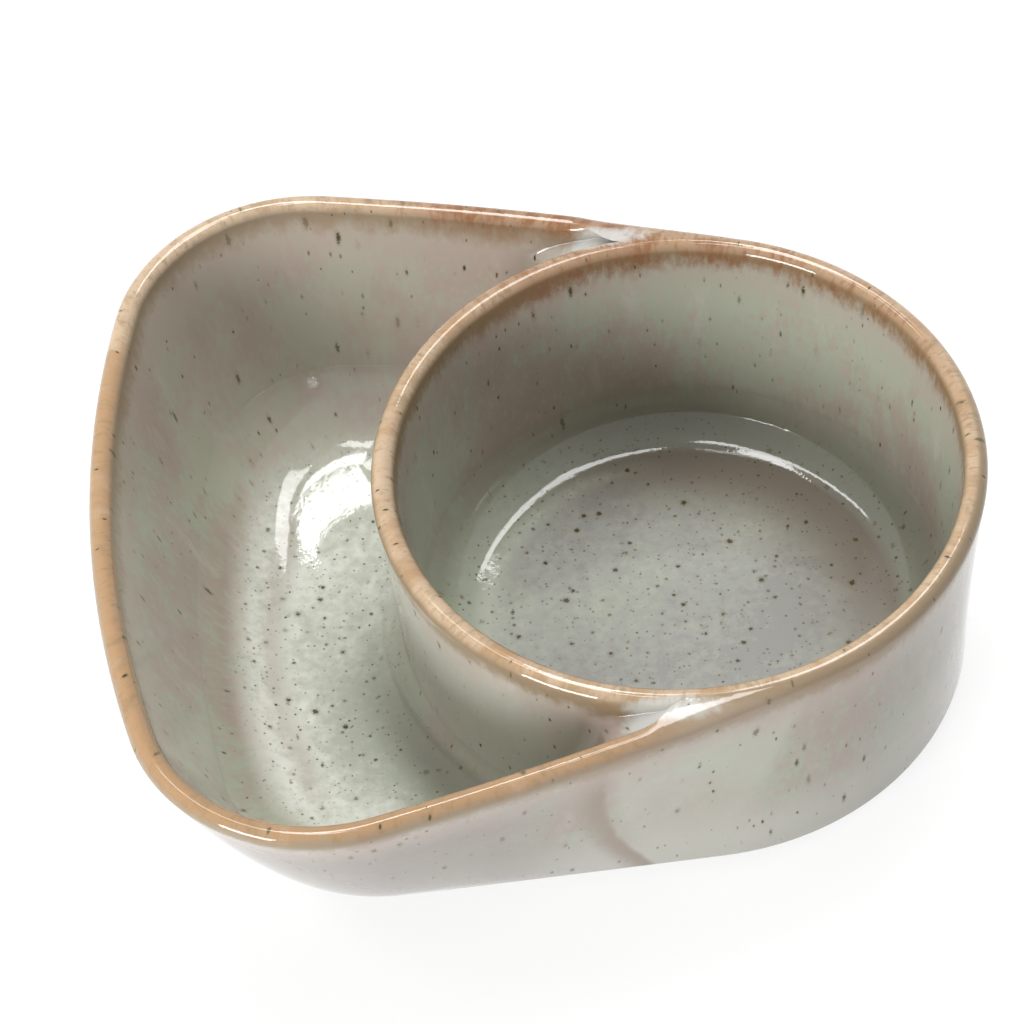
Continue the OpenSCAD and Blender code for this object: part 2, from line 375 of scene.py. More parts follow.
class Clay:
    """A mesh being shaped, from its first row of points to a finished piece."""

    def __init__(self, name: str) -> None:
        """Starts an empty mesh for a named piece."""
        self.name = name
        self.mesh = bmesh.new()

    def row(self, points: Sequence[Vector], closed: bool) -> tuple[list, list]:
        """Starts a row of points joined by edges.

        Args:
            points: Places of the row's points, in order.
            closed: Whether the last point joins the first.

        Returns:
            The row's vertices and its edges.
        """
        verts = [self.mesh.verts.new(p) for p in points]
        ends = verts[1:] + verts[:1] if closed else verts[1:]
        return verts, [self.mesh.edges.new(pair) for pair in zip(verts, ends)]

    def weld(self) -> None:
        """Merges points that lie on one another."""
        bmesh.ops.remove_doubles(self.mesh, verts=self.mesh.verts, dist=WELD)

    def extrude(self, edges: list) -> tuple[set, list]:
        """Extrudes edges without moving them.

        Args:
            edges: Edges to extrude.

        Returns:
            The new vertices, and the edges that join them.
        """
        made = bmesh.ops.extrude_edge_only(self.mesh, edges=edges)["geom"]
        fresh = {part for part in made if isinstance(part, bmesh.types.BMVert)}
        return fresh, [part for part in made if isinstance(part, bmesh.types.BMEdge)
                       and part.verts[0] in fresh and part.verts[1] in fresh]

    def loft(self, rows: Sequence[Sequence[Vector]], closed: bool) -> tuple[list, list]:
        """Extrudes a first row through the places of the rows after it.

        Args:
            rows: Rows of points, each with the same count.
            closed: Whether each row is a ring.

        Returns:
            The edges of the first and of the last row.
        """
        verts, edges = self.row(rows[0], closed)
        first = edges
        for points in rows[1:]:
            fresh, edges = self.extrude(edges)
            verts = [next(edge.other_vert(v) for edge in v.link_edges if edge.other_vert(v) in fresh)
                     for v in verts]
            for vert, point in zip(verts, points):
                vert.co = point
        return first, edges

    def cap(self, edges: list) -> None:
        """Closes a ring of edges with one face."""
        bmesh.ops.edgeloop_fill(self.mesh, edges=edges)

    def spin(self, profile: Sequence[Vector], centre: Vector, steps: int, closed: bool) -> None:
        """Turns a profile a full turn about the vertical line through a centre.

        Args:
            profile: Points of the profile, in the plane y = 0.
            centre: A point on the axis.
            steps: Steps round the turn.
            closed: Whether the profile is a ring.
        """
        verts, edges = self.row(profile, closed)
        bmesh.ops.spin(self.mesh, geom=verts + edges, cent=centre, axis=Vector((0.0, 0.0, 1.0)),
                       angle=2.0 * math.pi, steps=steps, use_merge=True)

    def fire(self, sharp: float = 40.0) -> bpy.types.Object:
        """Merges, turns the faces outwards, and makes the piece that stands for its CAD node.

        Args:
            sharp: Angle in degrees above which an edge shows as an edge.

        Returns:
            The finished object, riding on the body.
        """
        self.weld()
        bmesh.ops.dissolve_degenerate(self.mesh, edges=self.mesh.edges, dist=SLIVER)
        bmesh.ops.recalc_face_normals(self.mesh, faces=self.mesh.faces)
        data = bpy.data.meshes.new(self.name)
        self.mesh.to_mesh(data)
        self.mesh.free()
        data.shade_smooth()
        data.set_sharp_from_angle(angle=math.radians(sharp))
        piece = bpy.data.objects.new(self.name, data)
        bpy.context.scene.collection.objects.link(piece)
        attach(piece, BODY)
        log.info("%s: %d faces", self.name, len(data.polygons))
        return piece


@dataclass
class SoupCup:
    """The round cup: its wall, floor and the cove between them."""

    form: BowlForm
    turn_steps: int = 288
    cove_steps: int = 20
    cove_edge: float = 0.00002
    dish_turn: float = math.radians(9.0)
    dish_w: float = 0.009
    dish_steps: int = 12

    @property
    def axis(self) -> Vector:
        """A point on the cup's axis."""
        return Vector((self.form.cup_x, 0.0, 0.0))

    def at(self, radius: float, z: float) -> Vector:
        """A profile point at a radius and height."""
        return Vector((self.form.cup_x + radius, 0.0, z))

    def inside_r(self, z: float) -> float:
        """Inside radius of the wall at a height."""
        return self.form.cup_r(z) - self.form.wall(z)

    def build_wall(self) -> bpy.types.Object:
        """Turns the wall with its rounded lip and base edge.

        Returns:
            The piece.
        """
        form = self.form
        levels = form.levels()
        outside = [self.at(form.cup_outer(lv), lv.z) for lv in levels]
        inside = [self.at(form.cup_outer(lv) - lv.thickness, lv.z) for lv in reversed(levels[:-1])]
        clay = Clay("cup_wall_glazed")
        clay.spin(outside + inside, self.axis, self.turn_steps, True)
        piece = clay.fire()
        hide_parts("cup_wall")
        return piece

    def cove_arc(self) -> list[Vector]:
        """Draws the cove's hollow.

        Returns:
            Profile points from the toe on the floor up to the feather edge on the wall.
        """
        form = self.form
        radius = form.cup_cove_r
        last = math.asin(1.0 - self.cove_edge / radius)
        made = []
        for turn in shares(self.cove_steps, self.dish_turn, last):
            z = form.floor_z + radius * (1.0 - math.cos(turn))
            made.append(self.at(self.inside_r(z) - radius * (1.0 - math.sin(turn)), z))
        return made

    def build_cove(self) -> bpy.types.Object:
        """Turns the cove that rounds the wall into the floor.

        Returns:
            The piece.
        """
        arc = self.cove_arc()
        toe, top = arc[0], arc[-1]
        floor_z = self.form.floor_z
        back = [self.at(self.inside_r(z), z) for z in shares(self.cove_steps, top.z, floor_z)]
        clay = Clay("cup_cove_glazed")
        clay.spin(arc + back + [Vector((toe.x, 0.0, floor_z))], self.axis, self.turn_steps, True)
        piece = clay.fire()
        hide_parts("cup_cove")
        return piece

    def build_floor(self) -> bpy.types.Object:
        """Turns the floor, which carries the cove's slope on and flattens towards the middle.

        Returns:
            The piece.
        """
        form = self.form
        toe = self.cove_arc()[0]
        toe_r = toe.x - form.cup_x
        rim_r = self.inside_r(form.floor_z)
        profile = [self.at(0.0, form.foot_h), self.at(self.inside_r(form.foot_h), form.foot_h),
                   self.at(rim_r, form.floor_z), self.at(toe_r, form.floor_z)]
        drop = self.dish_w * math.tan(self.dish_turn) / 2.0
        for share in shares(self.dish_steps):
            fall = drop * (1.0 - (1.0 - share) ** 2)
            profile.append(self.at(toe_r - share * self.dish_w, toe.z - fall))
        profile.append(self.at(0.0, toe.z - drop))
        clay = Clay("cup_floor_glazed")
        clay.spin(profile, self.axis, self.turn_steps, False)
        piece = clay.fire()
        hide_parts("cup_floor")
        return piece

    def build(self) -> list[bpy.types.Object]:
        """Builds the cup's pieces."""
        return [self.build_wall(), self.build_floor(), self.build_cove()]


@dataclass
class CrackerTray:
    """The flared tray: its wall round one side of the cup, its floor and the cove round that."""

    form: BowlForm
    steps: Steps = field(default_factory=Steps)
    feather: float = 0.015
    cove_steps: int = 18
    cove_edge: float = 0.00002
    dish_turn: float = math.radians(7.0)
    dish_rows: int = 16
    rise_depth: float = 0.0026
    rise_half: float = 0.050
    rise_power: float = 3.0
    sweep_share: float = 0.7

    def stations(self) -> list[tuple[Side, Run, float]]:
        """Lists the stations of the wall.

        Returns:
            Sides, arcs and shares along them, from the front of the cup round to its back.
        """
        half = [(Run.FLANK, share) for share in shares(self.steps.flank, self.feather, 1.0)]
        half += [(Run.CORNER, share) for share in shares(self.steps.corner)[1:]]
        half += [(Run.END, share) for share in shares(self.steps.end)[1:]]
        front = [(Side.FRONT, run, share) for run, share in half]
        return front + [(Side.BACK, run, share) for run, share in reversed(half[:-1])]

    def section(self, side: Side, run: Run, share: float,
                plans: list[tuple[Level, Arc]]) -> list[Vector]:
        """Section of the wall at a station: up the outside, over the lip and down the inside.

        Args:
            side: Front or back.
            run: Arc of the plan that the station lies on.
            share: How far along that arc it lies.
            plans: Each level with the arc there.

        Returns:
            The section's points, as a ring.
        """
        form = self.form
        outside, inside = [], []
        lean, sink = form.merge(share) if run is Run.FLANK else (0.0, 0.0)
        for level, arc in plans:
            normal = arc.normal(share)
            bend = level.inset / form.lip_r if level.z > form.lip_z else 0.0
            outer = arc.point(share, level.inset + lean * bend)
            z = level.z - sink * bend
            cup_r = form.cup_outer(level) + form.seam
            along = outer.dot(normal)
            room = along * along - outer.length_squared + cup_r * cup_r
            thickness = level.thickness
            if room > 0.0:
                thickness = max(form.seam, min(thickness, along - math.sqrt(room)))
            outside.append(form.place(outer, z, side))
            inside.append(form.place(outer - thickness * normal, z, side))
        return outside + inside[-2::-1]

    def build_wall(self) -> bpy.types.Object:
        """Lofts the wall's section round the plan.

        Returns:
            The piece.
        """
        levels = self.form.levels()
        plans = [(level, self.form.plan(level.z)) for level in levels]
        rows = [self.section(side, run, share, [(level, plan[run]) for level, plan in plans])
                for side, run, share in self.stations()]
        clay = Clay("tray_wall_glazed")
        for edges in clay.loft(rows, True):
            clay.cap(edges)
        piece = clay.fire()
        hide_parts("tray_wall")
        return piece

    def loop(self, heights: Sequence[float], insets: Sequence[float],
             z: float | None = None) -> list[Vector]:
        """Ring of points round the basin, from the cup's far side by the back and the front.

        Args:
            heights: Height of the walls at each station of half the ring.
            insets: How far the ring is drawn in from the walls at each of those stations.
            z: Height of the ring, where it isn't the walls' own.

        Returns:
            The ring's points.
        """
        form = self.form
        half = []
        for (run, share), height, inset in zip(self.steps.half_run(), heights, insets):
            arc = form.basin(form.level(height), inset)[run]
            half.append((arc.point(share), height if z is None else z))
        return form.ring(half)

    def cove_radii(self) -> list[float]:
        """Lists the cove's radii, tight by the cup and wide by the wall.

        Returns:
            The radius at each station of half the basin.
        """
        form = self.form
        wide = {Run.CUP: 0.0, Run.WEB: 0.0, Run.CORNER: 1.0, Run.END: 1.0}
        eases = [smooth(wide.get(run, share / self.sweep_share)) for run, share in self.steps.half_run()]
        return [mix(form.tray_cove_r, form.tray_sweep_r, ease) for ease in eases]

    def cove_insets(self, turn: float) -> list[float]:
        """How far the cove stands in from the walls at a turn, by stations of half the basin."""
        return [radius * (1.0 - math.sin(turn)) for radius in self.cove_radii()]

    def cove_heights(self, turn: float) -> list[float]:
        """Lists the cove's heights, which rise to the back and front.

        Args:
            turn: Turn up the cove's hollow.

        Returns:
            The height at each station of half the basin.
        """
        form = self.form
        arcs = form.basin(form.level(form.floor_z), form.tray_cove_r)
        made = []
        for (run, share), radius in zip(self.steps.half_run(), self.cove_radii()):
            aside = abs(arcs[run].point(share).y) / self.rise_half
            rise = self.rise_depth * aside ** self.rise_power
            made.append(form.floor_z + rise + radius * (1.0 - math.cos(turn)))
        return made

    def build_cove(self) -> bpy.types.Object:
        """Lofts the cove round the floor.

        Returns:
            The piece.
        """
        form = self.form
        last = math.asin(1.0 - self.cove_edge / form.tray_sweep_r)
        turns = shares(self.cove_steps, self.dish_turn, last)
        rings = [self.loop(self.cove_heights(turn), self.cove_insets(turn)) for turn in turns]
        top, flush = self.cove_heights(turns[-1]), [0.0] * len(self.cove_radii())
        for share in shares(self.cove_steps):
            rings.append(self.loop([mix(z, form.floor_z, share) for z in top], flush))
        rings.append(self.loop(self.cove_heights(turns[0]), self.cove_insets(turns[0]), form.floor_z))
        rings.append(rings[0])
        clay = Clay("tray_cove_glazed")
        clay.loft(rings, True)
        piece = clay.fire()
        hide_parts("tray_cove")
        return piece

    def split_loop(self, ring: list[Vector]) -> tuple[list[Vector], list[Vector]]:
        """Splits a basin ring where the webs meet the flanks.

        Args:
            ring: A ring from loop().

        Returns:
            The chain along the cup and the chain along the wall, both from the front to the back.
        """
        half = len(self.steps.half_run()) - 1
        count = len(ring)
        turn = half // 2
        cup = [ring[k % count] for k in range(-turn, turn + 1)]
        wall = [ring[k % count] for k in range(count - turn, turn - 1, -1)]
        return cup, wall

    def build_floor(self) -> bpy.types.Object:
        """Lofts the dished floor from the cup's side across to the wall, and thickens it down.

        Returns:
            The piece.
        """
        form = self.form
        heights, insets = self.cove_heights(self.dish_turn), self.cove_insets(self.dish_turn)
        under = self.split_loop(self.loop([form.floor_z] * len(heights), [0.0] * len(heights)))
        toe = self.split_loop(self.loop(heights, insets))
        flat_toe = self.split_loop(self.loop(heights, insets, form.floor_z))
        rows = [under[0], flat_toe[0]]
        for share in shares(self.dish_rows):
            row = []
            for cup, wall in zip(*toe):
                point = cup.lerp(wall, share)
                point.z -= math.tan(self.dish_turn) * (wall - cup).length * share * (1.0 - share)
                row.append(point)
            rows.append(row)
        rows += [flat_toe[1], under[1]]
        clay = Clay("tray_floor_glazed")
        clay.loft(rows, False)
        clay.weld()
        fresh, edges = clay.extrude([edge for edge in clay.mesh.edges if edge.is_boundary])
        for vert in fresh:
            vert.co.z = form.foot_h
        clay.cap(edges)
        piece = clay.fire()
        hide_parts("tray_floor")
        return piece

    def build(self) -> list[bpy.types.Object]:
        """Builds the tray's pieces."""
        return [self.build_wall(), self.build_floor(), self.build_cove()]


@dataclass
class CornerWeb:
    """The fillet in the sharp corner between tray and cup, up to the groove between their lips."""

    form: BowlForm
    side: Side
    side_steps: int = 26
    hollow_steps: int = 24
    sharp: float = 60.0

    def ring(self, level: Level) -> list[Vector]:
        """Draws the web's outline at a level.

        Args:
            level: Level of the walls.

        Returns:
            A ring along the cup to the corner's tip, out along the tray and back round the hollow.
        """
        form = self.form
        arcs = form.basin(level)
        flank, cup, hollow = arcs[Run.FLANK], arcs[Run.CUP], arcs[Run.WEB]
        tip = meeting(cup.centre, cup.radius, flank.centre, flank.radius, -1)
        along_cup = Arc(cup.centre, cup.radius, cup.last, bearing(tip.x, tip.y))
        along_flank = Arc(flank.centre, flank.radius, bearing(*(tip - flank.centre)), flank.first)
        points = [along_cup.point(share) for share in shares(self.side_steps)]
        points += [along_flank.point(share) for share in shares(self.side_steps)[1:]]
        points += [hollow.point(share) for share in reversed(shares(self.hollow_steps)[1:-1])]
        return [form.place(p, level.z, self.side) for p in points]

    def build(self) -> list[bpy.types.Object]:
        """Lofts the web from the base to its top.

        Returns:
            A list of the one piece.
        """
        rings = [self.ring(level) for level in self.form.web_levels()]
        word = self.side.name.lower()
        clay = Clay(f"{word}_web_glazed")
        for edges in clay.loft(rings, True):
            clay.cap(edges)
        piece = clay.fire(self.sharp)
        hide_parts(f"{word}_web")
        return [piece]


@dataclass
class FootRing:
    """The bare clay ring that the bowl stands on."""

    form: BowlForm
    steps: int = 48
    edge_r: float = 0.0004
    edge_segments: int = 3
    standing_turn: float = math.radians(60.0)

    def outline(self, inset: float, z: float) -> list[Vector]:
        """Draws a ring round the base.

        Args:
            inset: How far the ring is drawn in from the base's edge.
            z: Height of the ring.

        Returns:
            The ring's points.
        """
        plan = self.form.plan(self.form.foot_h)
        half = [plan[Run.CUP].point(share, inset) for share in shares(2 * self.steps)]
        for run in (Run.FLANK, Run.CORNER, Run.END):
            half += [plan[run].point(share, inset) for share in shares(self.steps)[1:]]
        return self.form.ring([(point, z) for point in half])

    def build(self) -> list[bpy.types.Object]:
        """Lofts the ring and rounds its standing edges.

        Returns:
            A list of the one piece.
        """
        form = self.form
        inner = form.foot_inset + form.foot_w
        corners = [(form.foot_inset, form.foot_h), (inner, form.foot_h),
                   (inner, 0.0), (form.foot_inset, 0.0)]
        rings = [self.outline(inset, z) for inset, z in corners]
        clay = Clay("foot_ring_bare")
        clay.loft(rings + [rings[0]], True)
        clay.weld()
        standing = [e for e in clay.mesh.edges if all(v.co.z < form.foot_h / 2.0 for v in e.verts)
                    and e.calc_face_angle(0.0) > self.standing_turn]
        bmesh.ops.bevel(clay.mesh, geom=standing, offset=self.edge_r, offset_type="OFFSET",
                        affect="EDGES", segments=self.edge_segments, profile=0.5, material=-1)
        piece = clay.fire()
        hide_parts("foot_ring")
        return [piece]


Socket = bpy.types.NodeSocket
Value = float | Socket
Pair = tuple[float, float]
Colour = tuple[float, float, float, float]

WHITE: Colour = (1.0, 1.0, 1.0, 1.0)


def linear(value: int) -> float:
    """Linear value of one channel of an 8-bit screen colour."""
    part = value / 255.0
    return part / 12.92 if part <= 0.04045 else ((part + 0.055) / 1.055) ** 2.4


def tint(red: int, green: int, blue: int) -> Colour:
    """Linear colour of an 8-bit screen colour."""
    return linear(red), linear(green), linear(blue), 1.0


@dataclass(frozen=True)
class Noise:
    """A noise: features per millimetre, octaves, roughness, and how far it is drawn out along z."""

    scale: float
    detail: float
    rough: float
    squeeze: float = 1.0


class Graph:
    """A material's or world's node tree, written as expressions."""

    def __init__(self, owner: bpy.types.Material | bpy.types.World) -> None:
        """Starts from the owner's own surface or background shader.

        Args:
            owner: Material or world that the graph belongs to.
        """
        owner.use_nodes = True
        self.owner = owner
        self.tree = owner.node_tree
        kinds = {"BSDF_PRINCIPLED", "BACKGROUND"}
        self.shader = next(node for node in self.tree.nodes if node.type in kinds)

    def node(self, kind: str, inputs: dict, **settings: str | bool) -> bpy.types.Node:
        """Adds a node.

        Args:
            kind: Node type.
            inputs: Sockets or constants by input name or number.
            settings: Properties of the node.

        Returns:
            The node.
        """
        made = self.tree.nodes.new(kind)
        for key, value in settings.items():
            setattr(made, key, value)
        for key, value in inputs.items():
            self.feed(made.inputs[key], value)
        return made

    def feed(self, socket: Socket, value: Value | Colour) -> None:
        """Links a socket to an input, or sets its constant.

        Args:
            socket: The socket to feed.
            value: Another socket, or a constant.
        """
        if isinstance(value, Socket):
            self.tree.links.new(value, socket)
        else:
            socket.default_value = value

    def math(self, operation: str, a: Value, b: Value = 0.0) -> Socket:
        """Result of a maths node."""
        return self.node("ShaderNodeMath", {0: a, 1: b}, operation=operation).outputs[0]

    def plus(self, *values: Value) -> Value:
        """Sum of values."""
        return reduce(lambda a, b: self.math("ADD", a, b), values)

    def minus(self, a: Value, b: Value) -> Socket:
        """Difference of two values."""
        return self.math("SUBTRACT", a, b)

    def times(self, *values: Value) -> Value:
        """Product of values."""
        return reduce(lambda a, b: self.math("MULTIPLY", a, b), values)

    def swing(self, value: Value, amount: float) -> Value:
        """A noise value about its middle, times an amount."""
        return self.times(self.minus(value, 0.5), amount)

    def ramp(self, value: Value, low: float, high: float) -> Socket:
        """Smooth step from 0 at low to 1 at high, which may be the lower number."""
        inputs = {"Value": value, "From Min": low, "From Max": high}
        return self.node("ShaderNodeMapRange", inputs, interpolation_type="SMOOTHSTEP").outputs["Result"]

    def blend(self, share: Value, a: Socket | Colour, b: Socket | Colour) -> Socket:
        """Colour a share of the way from a to b."""
        inputs = {0: share, 6: a, 7: b}
        return self.node("ShaderNodeMix", inputs, data_type="RGBA", clamp_factor=True).outputs[2]

    def choose(self, share: Value, a: Socket, b: Socket) -> Socket:
        """Vector a share of the way from a to b."""
        inputs = {0: share, 4: a, 5: b}
        return self.node("ShaderNodeMix", inputs, data_type="VECTOR", clamp_factor=True).outputs[1]

    def stretch(self, vector: Socket, scale: tuple[float, float, float]) -> Socket:
        """Vector times a scale, axis by axis."""
        inputs = {0: vector, 1: scale}
        return self.node("ShaderNodeVectorMath", inputs, operation="MULTIPLY").outputs[0]

    def join(self, x: Value, y: Value, z: Value) -> Socket:
        """Vector of three values."""
        return self.node("ShaderNodeCombineXYZ", {0: x, 1: y, 2: z}).outputs[0]

    def split(self, vector: Socket) -> tuple[Socket, ...]:
        """The three parts of a vector or colour."""
        return tuple(self.node("ShaderNodeSeparateXYZ", {0: vector}).outputs)

    def noise(self, vector: Socket, kind: Noise) -> Socket:
        """Noise value from 0 to 1 at a place."""
        inputs = {"Vector": self.stretch(vector, (1.0, 1.0, kind.squeeze)), "Scale": kind.scale,
                  "Detail": kind.detail, "Roughness": kind.rough}
        return self.node("ShaderNodeTexNoise", inputs, noise_dimensions="3D").outputs["Fac"]

    def cells(self, vector: Socket, scale: float) -> tuple[Socket, Socket]:
        """Distance to the nearest of scattered points, and a colour drawn for that point."""
        made = self.node("ShaderNodeTexVoronoi", {"Vector": vector, "Scale": scale},
                         voronoi_dimensions="3D", feature="F1")
        return made.outputs["Distance"], made.outputs["Color"]

    def coords(self) -> Socket:
        """Object coordinates in millimetres."""
        made = self.node("ShaderNodeTexCoord", {})
        return self.stretch(made.outputs["Object"], (1.0 / MM, 1.0 / MM, 1.0 / MM))

    def unlit(self) -> Socket:
        """1 where the camera, a gloss or a clear piece sees a surface, 0 for the light it gives.

        Returns:
            The value.
        """
        path = self.node("ShaderNodeLightPath", {}).outputs
        seen = self.plus(path["Is Camera Ray"], path["Is Glossy Ray"], path["Is Transmission Ray"])
        return self.math("MINIMUM", seen, 1.0)

    def bump(self, height: Value, strength: float, depth: float) -> Socket:
        """Normal bent by a height."""
        inputs = {"Height": height, "Strength": strength, "Distance": depth}
        return self.node("ShaderNodeBump", inputs).outputs[0]

    def surface(self, **inputs: Value | Colour) -> None:
        """Feeds the shader."""
        for key, value in inputs.items():
            self.feed(self.shader.inputs[key.replace("_", " ").title()], value)


class By(Enum):
    """What the glaze's colours fade by: millimetres, parts of the surface's normal, or noises."""

    X = "place along x"
    Y = "place along y"
    Z = "height"
    SLANT = "x and y together"
    RADIUS = "distance from the cup's axis"
    CREST = "distance out from the cup's crest"
    AHEAD = "normal along y"
    UP = "normal along z"
    CLOUD = "wide noise"
    RUNS = "noise drawn out down the walls"
    FUZZ = "fine noise on the walls"
    GRAIN = "fine noise all over"
    EDGE = "height, frayed for the lips' bands"
    TOP = "height, frayed for the crests"
    DISC = "radius, frayed"
    TOE = "distance from the toe of the tray's wall"
    LAP = "distance past the line where the dips lap"


Zone = tuple[tuple[By, float, float], ...]
Mottle = tuple[tuple[By, float], ...]


@dataclass(frozen=True)
class Coat:
    """A colour laid over a zone, whose fades go from where they start to where they are full."""

    colour: Colour
    strength: float
    zone: Zone


@dataclass(frozen=True)
class Spot:
    """A spot of glaze: its graph, its coordinates plain and draped, and what colours fade by."""

    g: Graph
    place: Socket
    drape: Socket
    by: dict[By, Value]

    def share(self, zone: Zone) -> Value:
        """1 where all of a zone's fades are full, and 0 where any hasn't started."""
        return self.g.times(*[self.g.ramp(self.by[way], start, full) for way, start, full in zone])

    def waver(self, level: Value, mottle: Mottle) -> Value:
        """A level pushed about by noises, each by an amount."""
        return self.g.plus(level, *[self.g.swing(self.by[way], amount) for way, amount in mottle])

    def wash(self, body: Socket, colour: Socket | Colour, strength: Value, zone: Zone) -> Socket:
        """Body colour with another laid over it in a zone, at a strength."""
        return self.g.blend(self.g.times(self.share(zone), strength), body, colour)

    def lay(self, body: Socket, coats: Sequence[Coat]) -> Socket:
        """Body colour with coats laid over it in order.

        Args:
            body: Colour so far.
            coats: The coats.

        Returns:
            The colour with the coats.
        """
        for coat in coats:
            body = self.wash(body, coat.colour, coat.strength, coat.zone)
        return body


@dataclass(frozen=True)
class SpeckLayer:
    """A scatter of iron specks.

    scale counts cells per millimetre, radius is the largest speck in cells, share is the part of
    the cells that hold one, and squeeze draws the specks out along z.
    """

    scale: float
    radius: float
    share: float
    squeeze: float = 1.0


@dataclass(frozen=True)
class ReactiveGlaze:
    """Glossy speckled glaze: sage and mauve walls, green pools, amber lips that break brown, painted
    light and shade.
    """

    form: BowlForm

    sage: Colour = tint(166, 170, 153)
    mauve: Colour = tint(163, 149, 138)
    # Milky white of the glaze's runs, also laid as painted light on the outside walls.
    milk_and_painted_light: Colour = tint(198, 197, 189)
    blush: Colour = tint(180, 164, 153)
    # Palest pooled green, made near white to paint light on the tray's floor towards its front.
    pool_and_painted_light: Colour = tint(222, 225, 215)
    pool_deep: Colour = tint(180, 184, 169)
    lavender: Colour = tint(150, 150, 146)
    plum_and_painted_shade: Colour = tint(118, 108, 97)
    # Moss green of the glaze pooled in the cup's cove ring, also laid in the tray's trough as painted
    # shade.
    moss_and_painted_shade: Colour = tint(146, 152, 134)
    # Painted shade, laid in the tray's trough by the cup and at the back of the cup's cove ring.
    painted_shade: Colour = tint(108, 106, 92)
    ochre: Colour = tint(140, 117, 82)
    honey: Colour = tint(171, 134, 95)
    cream: Colour = tint(192, 168, 140)
    rust: Colour = tint(134, 88, 52)
    pale: Colour = tint(200, 203, 200)
    lilac: Colour = tint(138, 128, 120)
    lap_brown: Colour = tint(140, 121, 102)
    lap_green: Colour = tint(192, 193, 181)
    speck: Colour = tint(60, 52, 30)
    halo: Colour = tint(124, 113, 78)

    cloud: Noise = Noise(0.030, 3.0, 0.55)
    runs: Noise = Noise(0.11, 4.0, 0.60, 0.35)
    fuzz: Noise = Noise(0.60, 4.0, 0.65, 0.55)
    grain: Noise = Noise(0.40, 4.0, 0.62)
    ragged: Noise = Noise(1.8, 2.0, 0.6)
    peel: Noise = Noise(0.45, 2.0, 0.5)
    fine_peel: Noise = Noise(1.6, 1.0, 0.5)

    wall_mottle: Mottle = ((By.CLOUD, 3.6), (By.RUNS, 1.4), (By.FUZZ, 1.8))
    pool_mottle: Mottle = ((By.GRAIN, 1.3), (By.CLOUD, 1.8))
    veil_mottle: Mottle = ((By.CLOUD, 2.0), (By.GRAIN, 1.3))
    disc_mottle: Mottle = ((By.GRAIN, 5.0),)
    lap_mottle: Mottle = ((By.RUNS, 2.5),)
    edge_mottle: Mottle = ((By.RUNS, 6.0), (By.FUZZ, 5.0), (By.CLOUD, 6.0))
    top_mottle: Mottle = ((By.FUZZ, 3.0), (By.RUNS, 2.5))
    worn_mottle: Mottle = ((By.RUNS, 3.0), (By.FUZZ, 1.8))
    rust_mottle: Mottle = ((By.CLOUD, 1.2), (By.RUNS, 1.5), (By.FUZZ, 1.2))
    groove_mottle: Mottle = ((By.FUZZ, 1.2),)

    floor: Zone = ((By.Z, 15.0, 9.0), (By.UP, 0.04, 0.30))
    off_cup: Zone = ((By.RADIUS, 57.0, 58.0),)
    in_cup: Zone = ((By.RADIUS, 58.0, 57.0),)
    disc: Zone = ((By.DISC, 46.0, 40.0),)
    ring: Zone = ((By.Z, 22.0, 11.0), (By.RADIUS, 61.0, 60.0), (By.RADIUS, 43.0, 48.0))
    tray_front_painted_light: Zone = ((By.RADIUS, 72.0, 96.0), (By.Y, 40.0, -20.0))
    trough: Zone = ((By.RADIUS, 84.0, 68.0), (By.RADIUS, 61.5, 62.5), (By.Y, 25.0, -40.0),
                    (By.X, 0.0, -8.0))
    front: Zone = ((By.Y, -61.5, -63.0), (By.AHEAD, -0.2, -0.5), (By.Z, 58.0, 52.0))
    dip: Zone = ((By.X, 8.0, -20.0),)
    dip_left: Zone = ((By.X, -15.0, -60.0),)
    blush_band: Zone = ((By.EDGE, 44.0, 56.0),)
    ochre_band: Zone = ((By.EDGE, 54.5, 59.0),)
    crest: Zone = ((By.TOP, 59.8, 61.8),)
    crest_fuzz: Zone = ((By.FUZZ, 0.47, 0.66),)
    cup_lip: Zone = ((By.CREST, 3.5, 2.0),)
    inner_lip: Zone = ((By.CREST, 0.6, -0.8),)
    outer_lip: Zone = ((By.CREST, 0.0, 1.2), (By.X, 5.0, 35.0), (By.Y, 30.0, -15.0))
    back_lip: Zone = ((By.Y, 20.0, 70.0),)
    rust_cup: Zone = ((By.Y, -20.0, 45.0), (By.X, -25.0, 25.0))
    rust_tray: Zone = ((By.Y, 20.0, 70.0), (By.X, -50.0, -5.0))

    wall_coats: tuple[Coat, ...] = (
        Coat(blush, 0.45, ((By.FUZZ, 0.48, 0.70),)),
        Coat(milk_and_painted_light, 0.30, ((By.RUNS, 0.54, 0.74),)),
        # Paler low on the outside: partly the glaze's own paler foot, partly painted bounce light from
        # the floor.
        Coat(milk_and_painted_light, 0.80, ((By.Z, 30.0, 6.0), (By.UP, 0.10, 0.02), (By.RADIUS, 59.0, 60.0))),
        Coat(lilac, 0.55, ((By.X, 55.0, 88.0), (By.RADIUS, 62.6, 63.4))),
        # Painted light on the cup's outside, above the tray's floor.
        Coat(milk_and_painted_light, 0.60, ((By.RADIUS, 61.4, 62.0), (By.RADIUS, 66.6, 65.8), (By.X, 15.0, -5.0),
                          (By.Z, 10.0, 20.0))),
        Coat(mauve, 0.35, ((By.Y, 35.0, 62.0), (By.X, 10.0, -20.0), (By.RADIUS, 66.0, 72.0))),
    )
